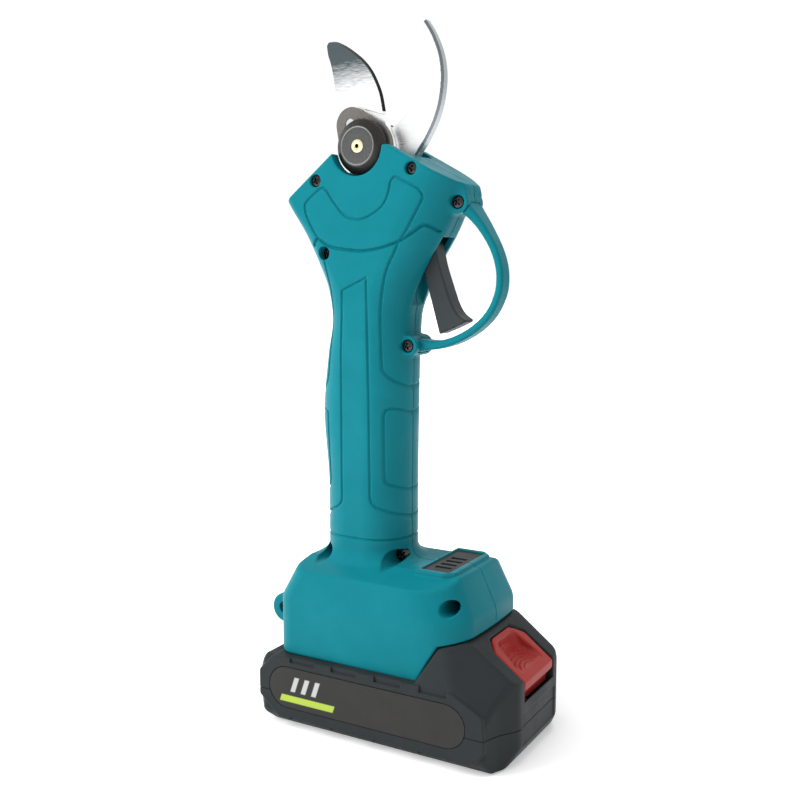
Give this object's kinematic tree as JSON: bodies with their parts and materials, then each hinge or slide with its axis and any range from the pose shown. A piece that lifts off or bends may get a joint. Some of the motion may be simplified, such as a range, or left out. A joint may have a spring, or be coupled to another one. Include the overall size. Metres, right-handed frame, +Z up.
{
  "type": "battery electric pruner",
  "caption": "Cordless pruner: curved blade closes past a hooked blade by a motor and bevel gear, with a trigger in a closed guard and a slide-out battery as its base.",
  "frame": {"origin": "where the grip's axis meets the flat face that the battery stands on", "axes": "+Z up the grip to the blades, +X forward to the trigger and the battery's release button, +Y to the right half of the housing"},
  "size_m": [0.1345, 0.075, 0.3054],
  "materials": {
    "housing_teal": "glass-filled nylon shell, fine satin texture",
    "battery_dark": "charcoal moulded plastic",
    "label_grey": "smooth printed panel, plain",
    "button_red": "red moulded plastic",
    "trigger_grey": "dark grey moulded plastic",
    "blade_steel": "ground and brushed tool steel",
    "dark_steel": "phosphated dark steel",
    "bright_steel": "machined steel",
    "screw_black": "black oxide",
    "brass": "turned brass",
    "bronze": "sintered bronze",
    "aluminium_cast": "machined casting",
    "copper_windings": "enamelled copper over steel",
    "black_plastic": "black moulded plastic",
    "nylon_white": "natural nylon",
    "board_green": "solder-masked board",
    "wire_yellow": "wire insulation",
    "wire_red": "wire insulation",
    "cell_wrap": "shrink wrap over a steel cell",
    "nickel": "nickel strip"
  },
  "bodies": {
    "handle": {"left_shell": "housing_teal", "right_shell": "housing_teal", "trigger_guard": "housing_teal", "shell_screws": "screw_black", "head_frame": "aluminium_cast", "fixed_blade": "blade_steel", "fixed_blade_screws": "bright_steel", "pivot_bolt": "dark_steel", "pivot_nut": "dark_steel", "grease_nipple": "brass", "thrust_washer": "bronze", "upper_bearing": "bright_steel", "lower_bearing": "bright_steel", "ring_gear": "bright_steel", "motor_can": "dark_steel", "motor_stator": "copper_windings", "motor_end_cap": "black_plastic", "motor_wires": "wire_yellow", "trigger_pin": "bright_steel", "trigger_spring": "bright_steel", "trigger_switch": "black_plastic", "display_panel": "black_plastic", "display_board": "board_green", "controller_board": "board_green", "power_transistors": "black_plastic", "terminal_block": "black_plastic", "terminal_blades": "brass", "power_wires": "wire_red"},
    "blade": {"moving_blade": "blade_steel", "sector_gear": "dark_steel", "drive_pin": "bright_steel", "pivot_bush": "bronze"},
    "pinion": {"bevel_pinion": "bright_steel", "planet_carrier": "bright_steel"},
    "planet_one": {"planet_gear_1": "bright_steel"},
    "planet_two": {"planet_gear_2": "bright_steel"},
    "planet_three": {"planet_gear_3": "bright_steel"},
    "rotor": {"motor_rotor": "bright_steel", "sun_gear": "bright_steel"},
    "trigger": {"trigger_lever": "trigger_grey"},
    "plunger": {"switch_plunger": "nylon_white"},
    "battery": {"battery_base": "battery_dark", "battery_cover": "battery_dark", "battery_cells": "cell_wrap", "cell_straps": "nickel", "protection_board": "board_green", "battery_terminals": "brass", "battery_labels": "label_grey", "battery_screws": "screw_black", "latch_spring": "bright_steel"},
    "latch_button": {"release_button": "button_red"}
  },
  "joints": [
    {"name": "blade_pivot", "type": "hinge", "parent": "handle", "child": "blade", "pos_m": [0.002, 0, 0.254], "axis": [0, 1, 0], "range_deg": [0, 56]},
    {"name": "pinion_spin", "type": "hinge", "parent": "handle", "child": "pinion", "pos_m": [0.002, 0, 0.22], "axis": [0, 0, 1], "range_deg": [-170, 2]},
    {"name": "planet_one_spin", "type": "hinge", "parent": "pinion", "child": "planet_one", "pos_m": [0.0101, 0, 0.197], "axis": [0, 0, 1], "range_deg": [-5, 475]},
    {"name": "planet_two_spin", "type": "hinge", "parent": "pinion", "child": "planet_two", "pos_m": [-0.00205, 0.00701, 0.197], "axis": [0, 0, 1], "range_deg": [-5, 475]},
    {"name": "planet_three_spin", "type": "hinge", "parent": "pinion", "child": "planet_three", "pos_m": [-0.00205, -0.00701, 0.197], "axis": [0, 0, 1], "range_deg": [-5, 475]},
    {"name": "motor_spin", "type": "hinge", "parent": "handle", "child": "rotor", "pos_m": [0.002, 0, 0.16], "axis": [0, 0, 1], "range_deg": [-760, 5]},
    {"name": "trigger_pivot", "type": "hinge", "parent": "handle", "child": "trigger", "pos_m": [0.029, 0, 0.211], "axis": [0, 1, 0], "range_deg": [0, 12], "stiffness_Nm_per_rad": 0.6, "deforming": ["trigger_spring"]},
    {"name": "plunger_slide", "type": "slide", "parent": "handle", "child": "plunger", "axis": [0, 0, 1], "range_m": [0, 0.0022]},
    {"name": "battery_slide", "type": "slide", "parent": "handle", "child": "battery", "axis": [1, 0, 0], "range_m": [0, 0.1]},
    {"name": "release_press", "type": "slide", "parent": "battery", "child": "latch_button", "axis": [0, 0, -1], "range_m": [0, 0.0035], "stiffness_N_per_m": 400, "deforming": ["latch_spring"]}
  ],
  "couplings": [
    {"joint": "pinion_spin", "follows": "blade_pivot", "ratio": -3},
    {"joint": "planet_one_spin", "follows": "blade_pivot", "ratio": 8.4},
    {"joint": "planet_two_spin", "follows": "blade_pivot", "ratio": 8.4},
    {"joint": "planet_three_spin", "follows": "blade_pivot", "ratio": 8.4},
    {"joint": "motor_spin", "follows": "blade_pivot", "ratio": -13.5},
    {"joint": "plunger_slide", "follows": "trigger_pivot", "m_per_rad": 0.01}
  ]
}
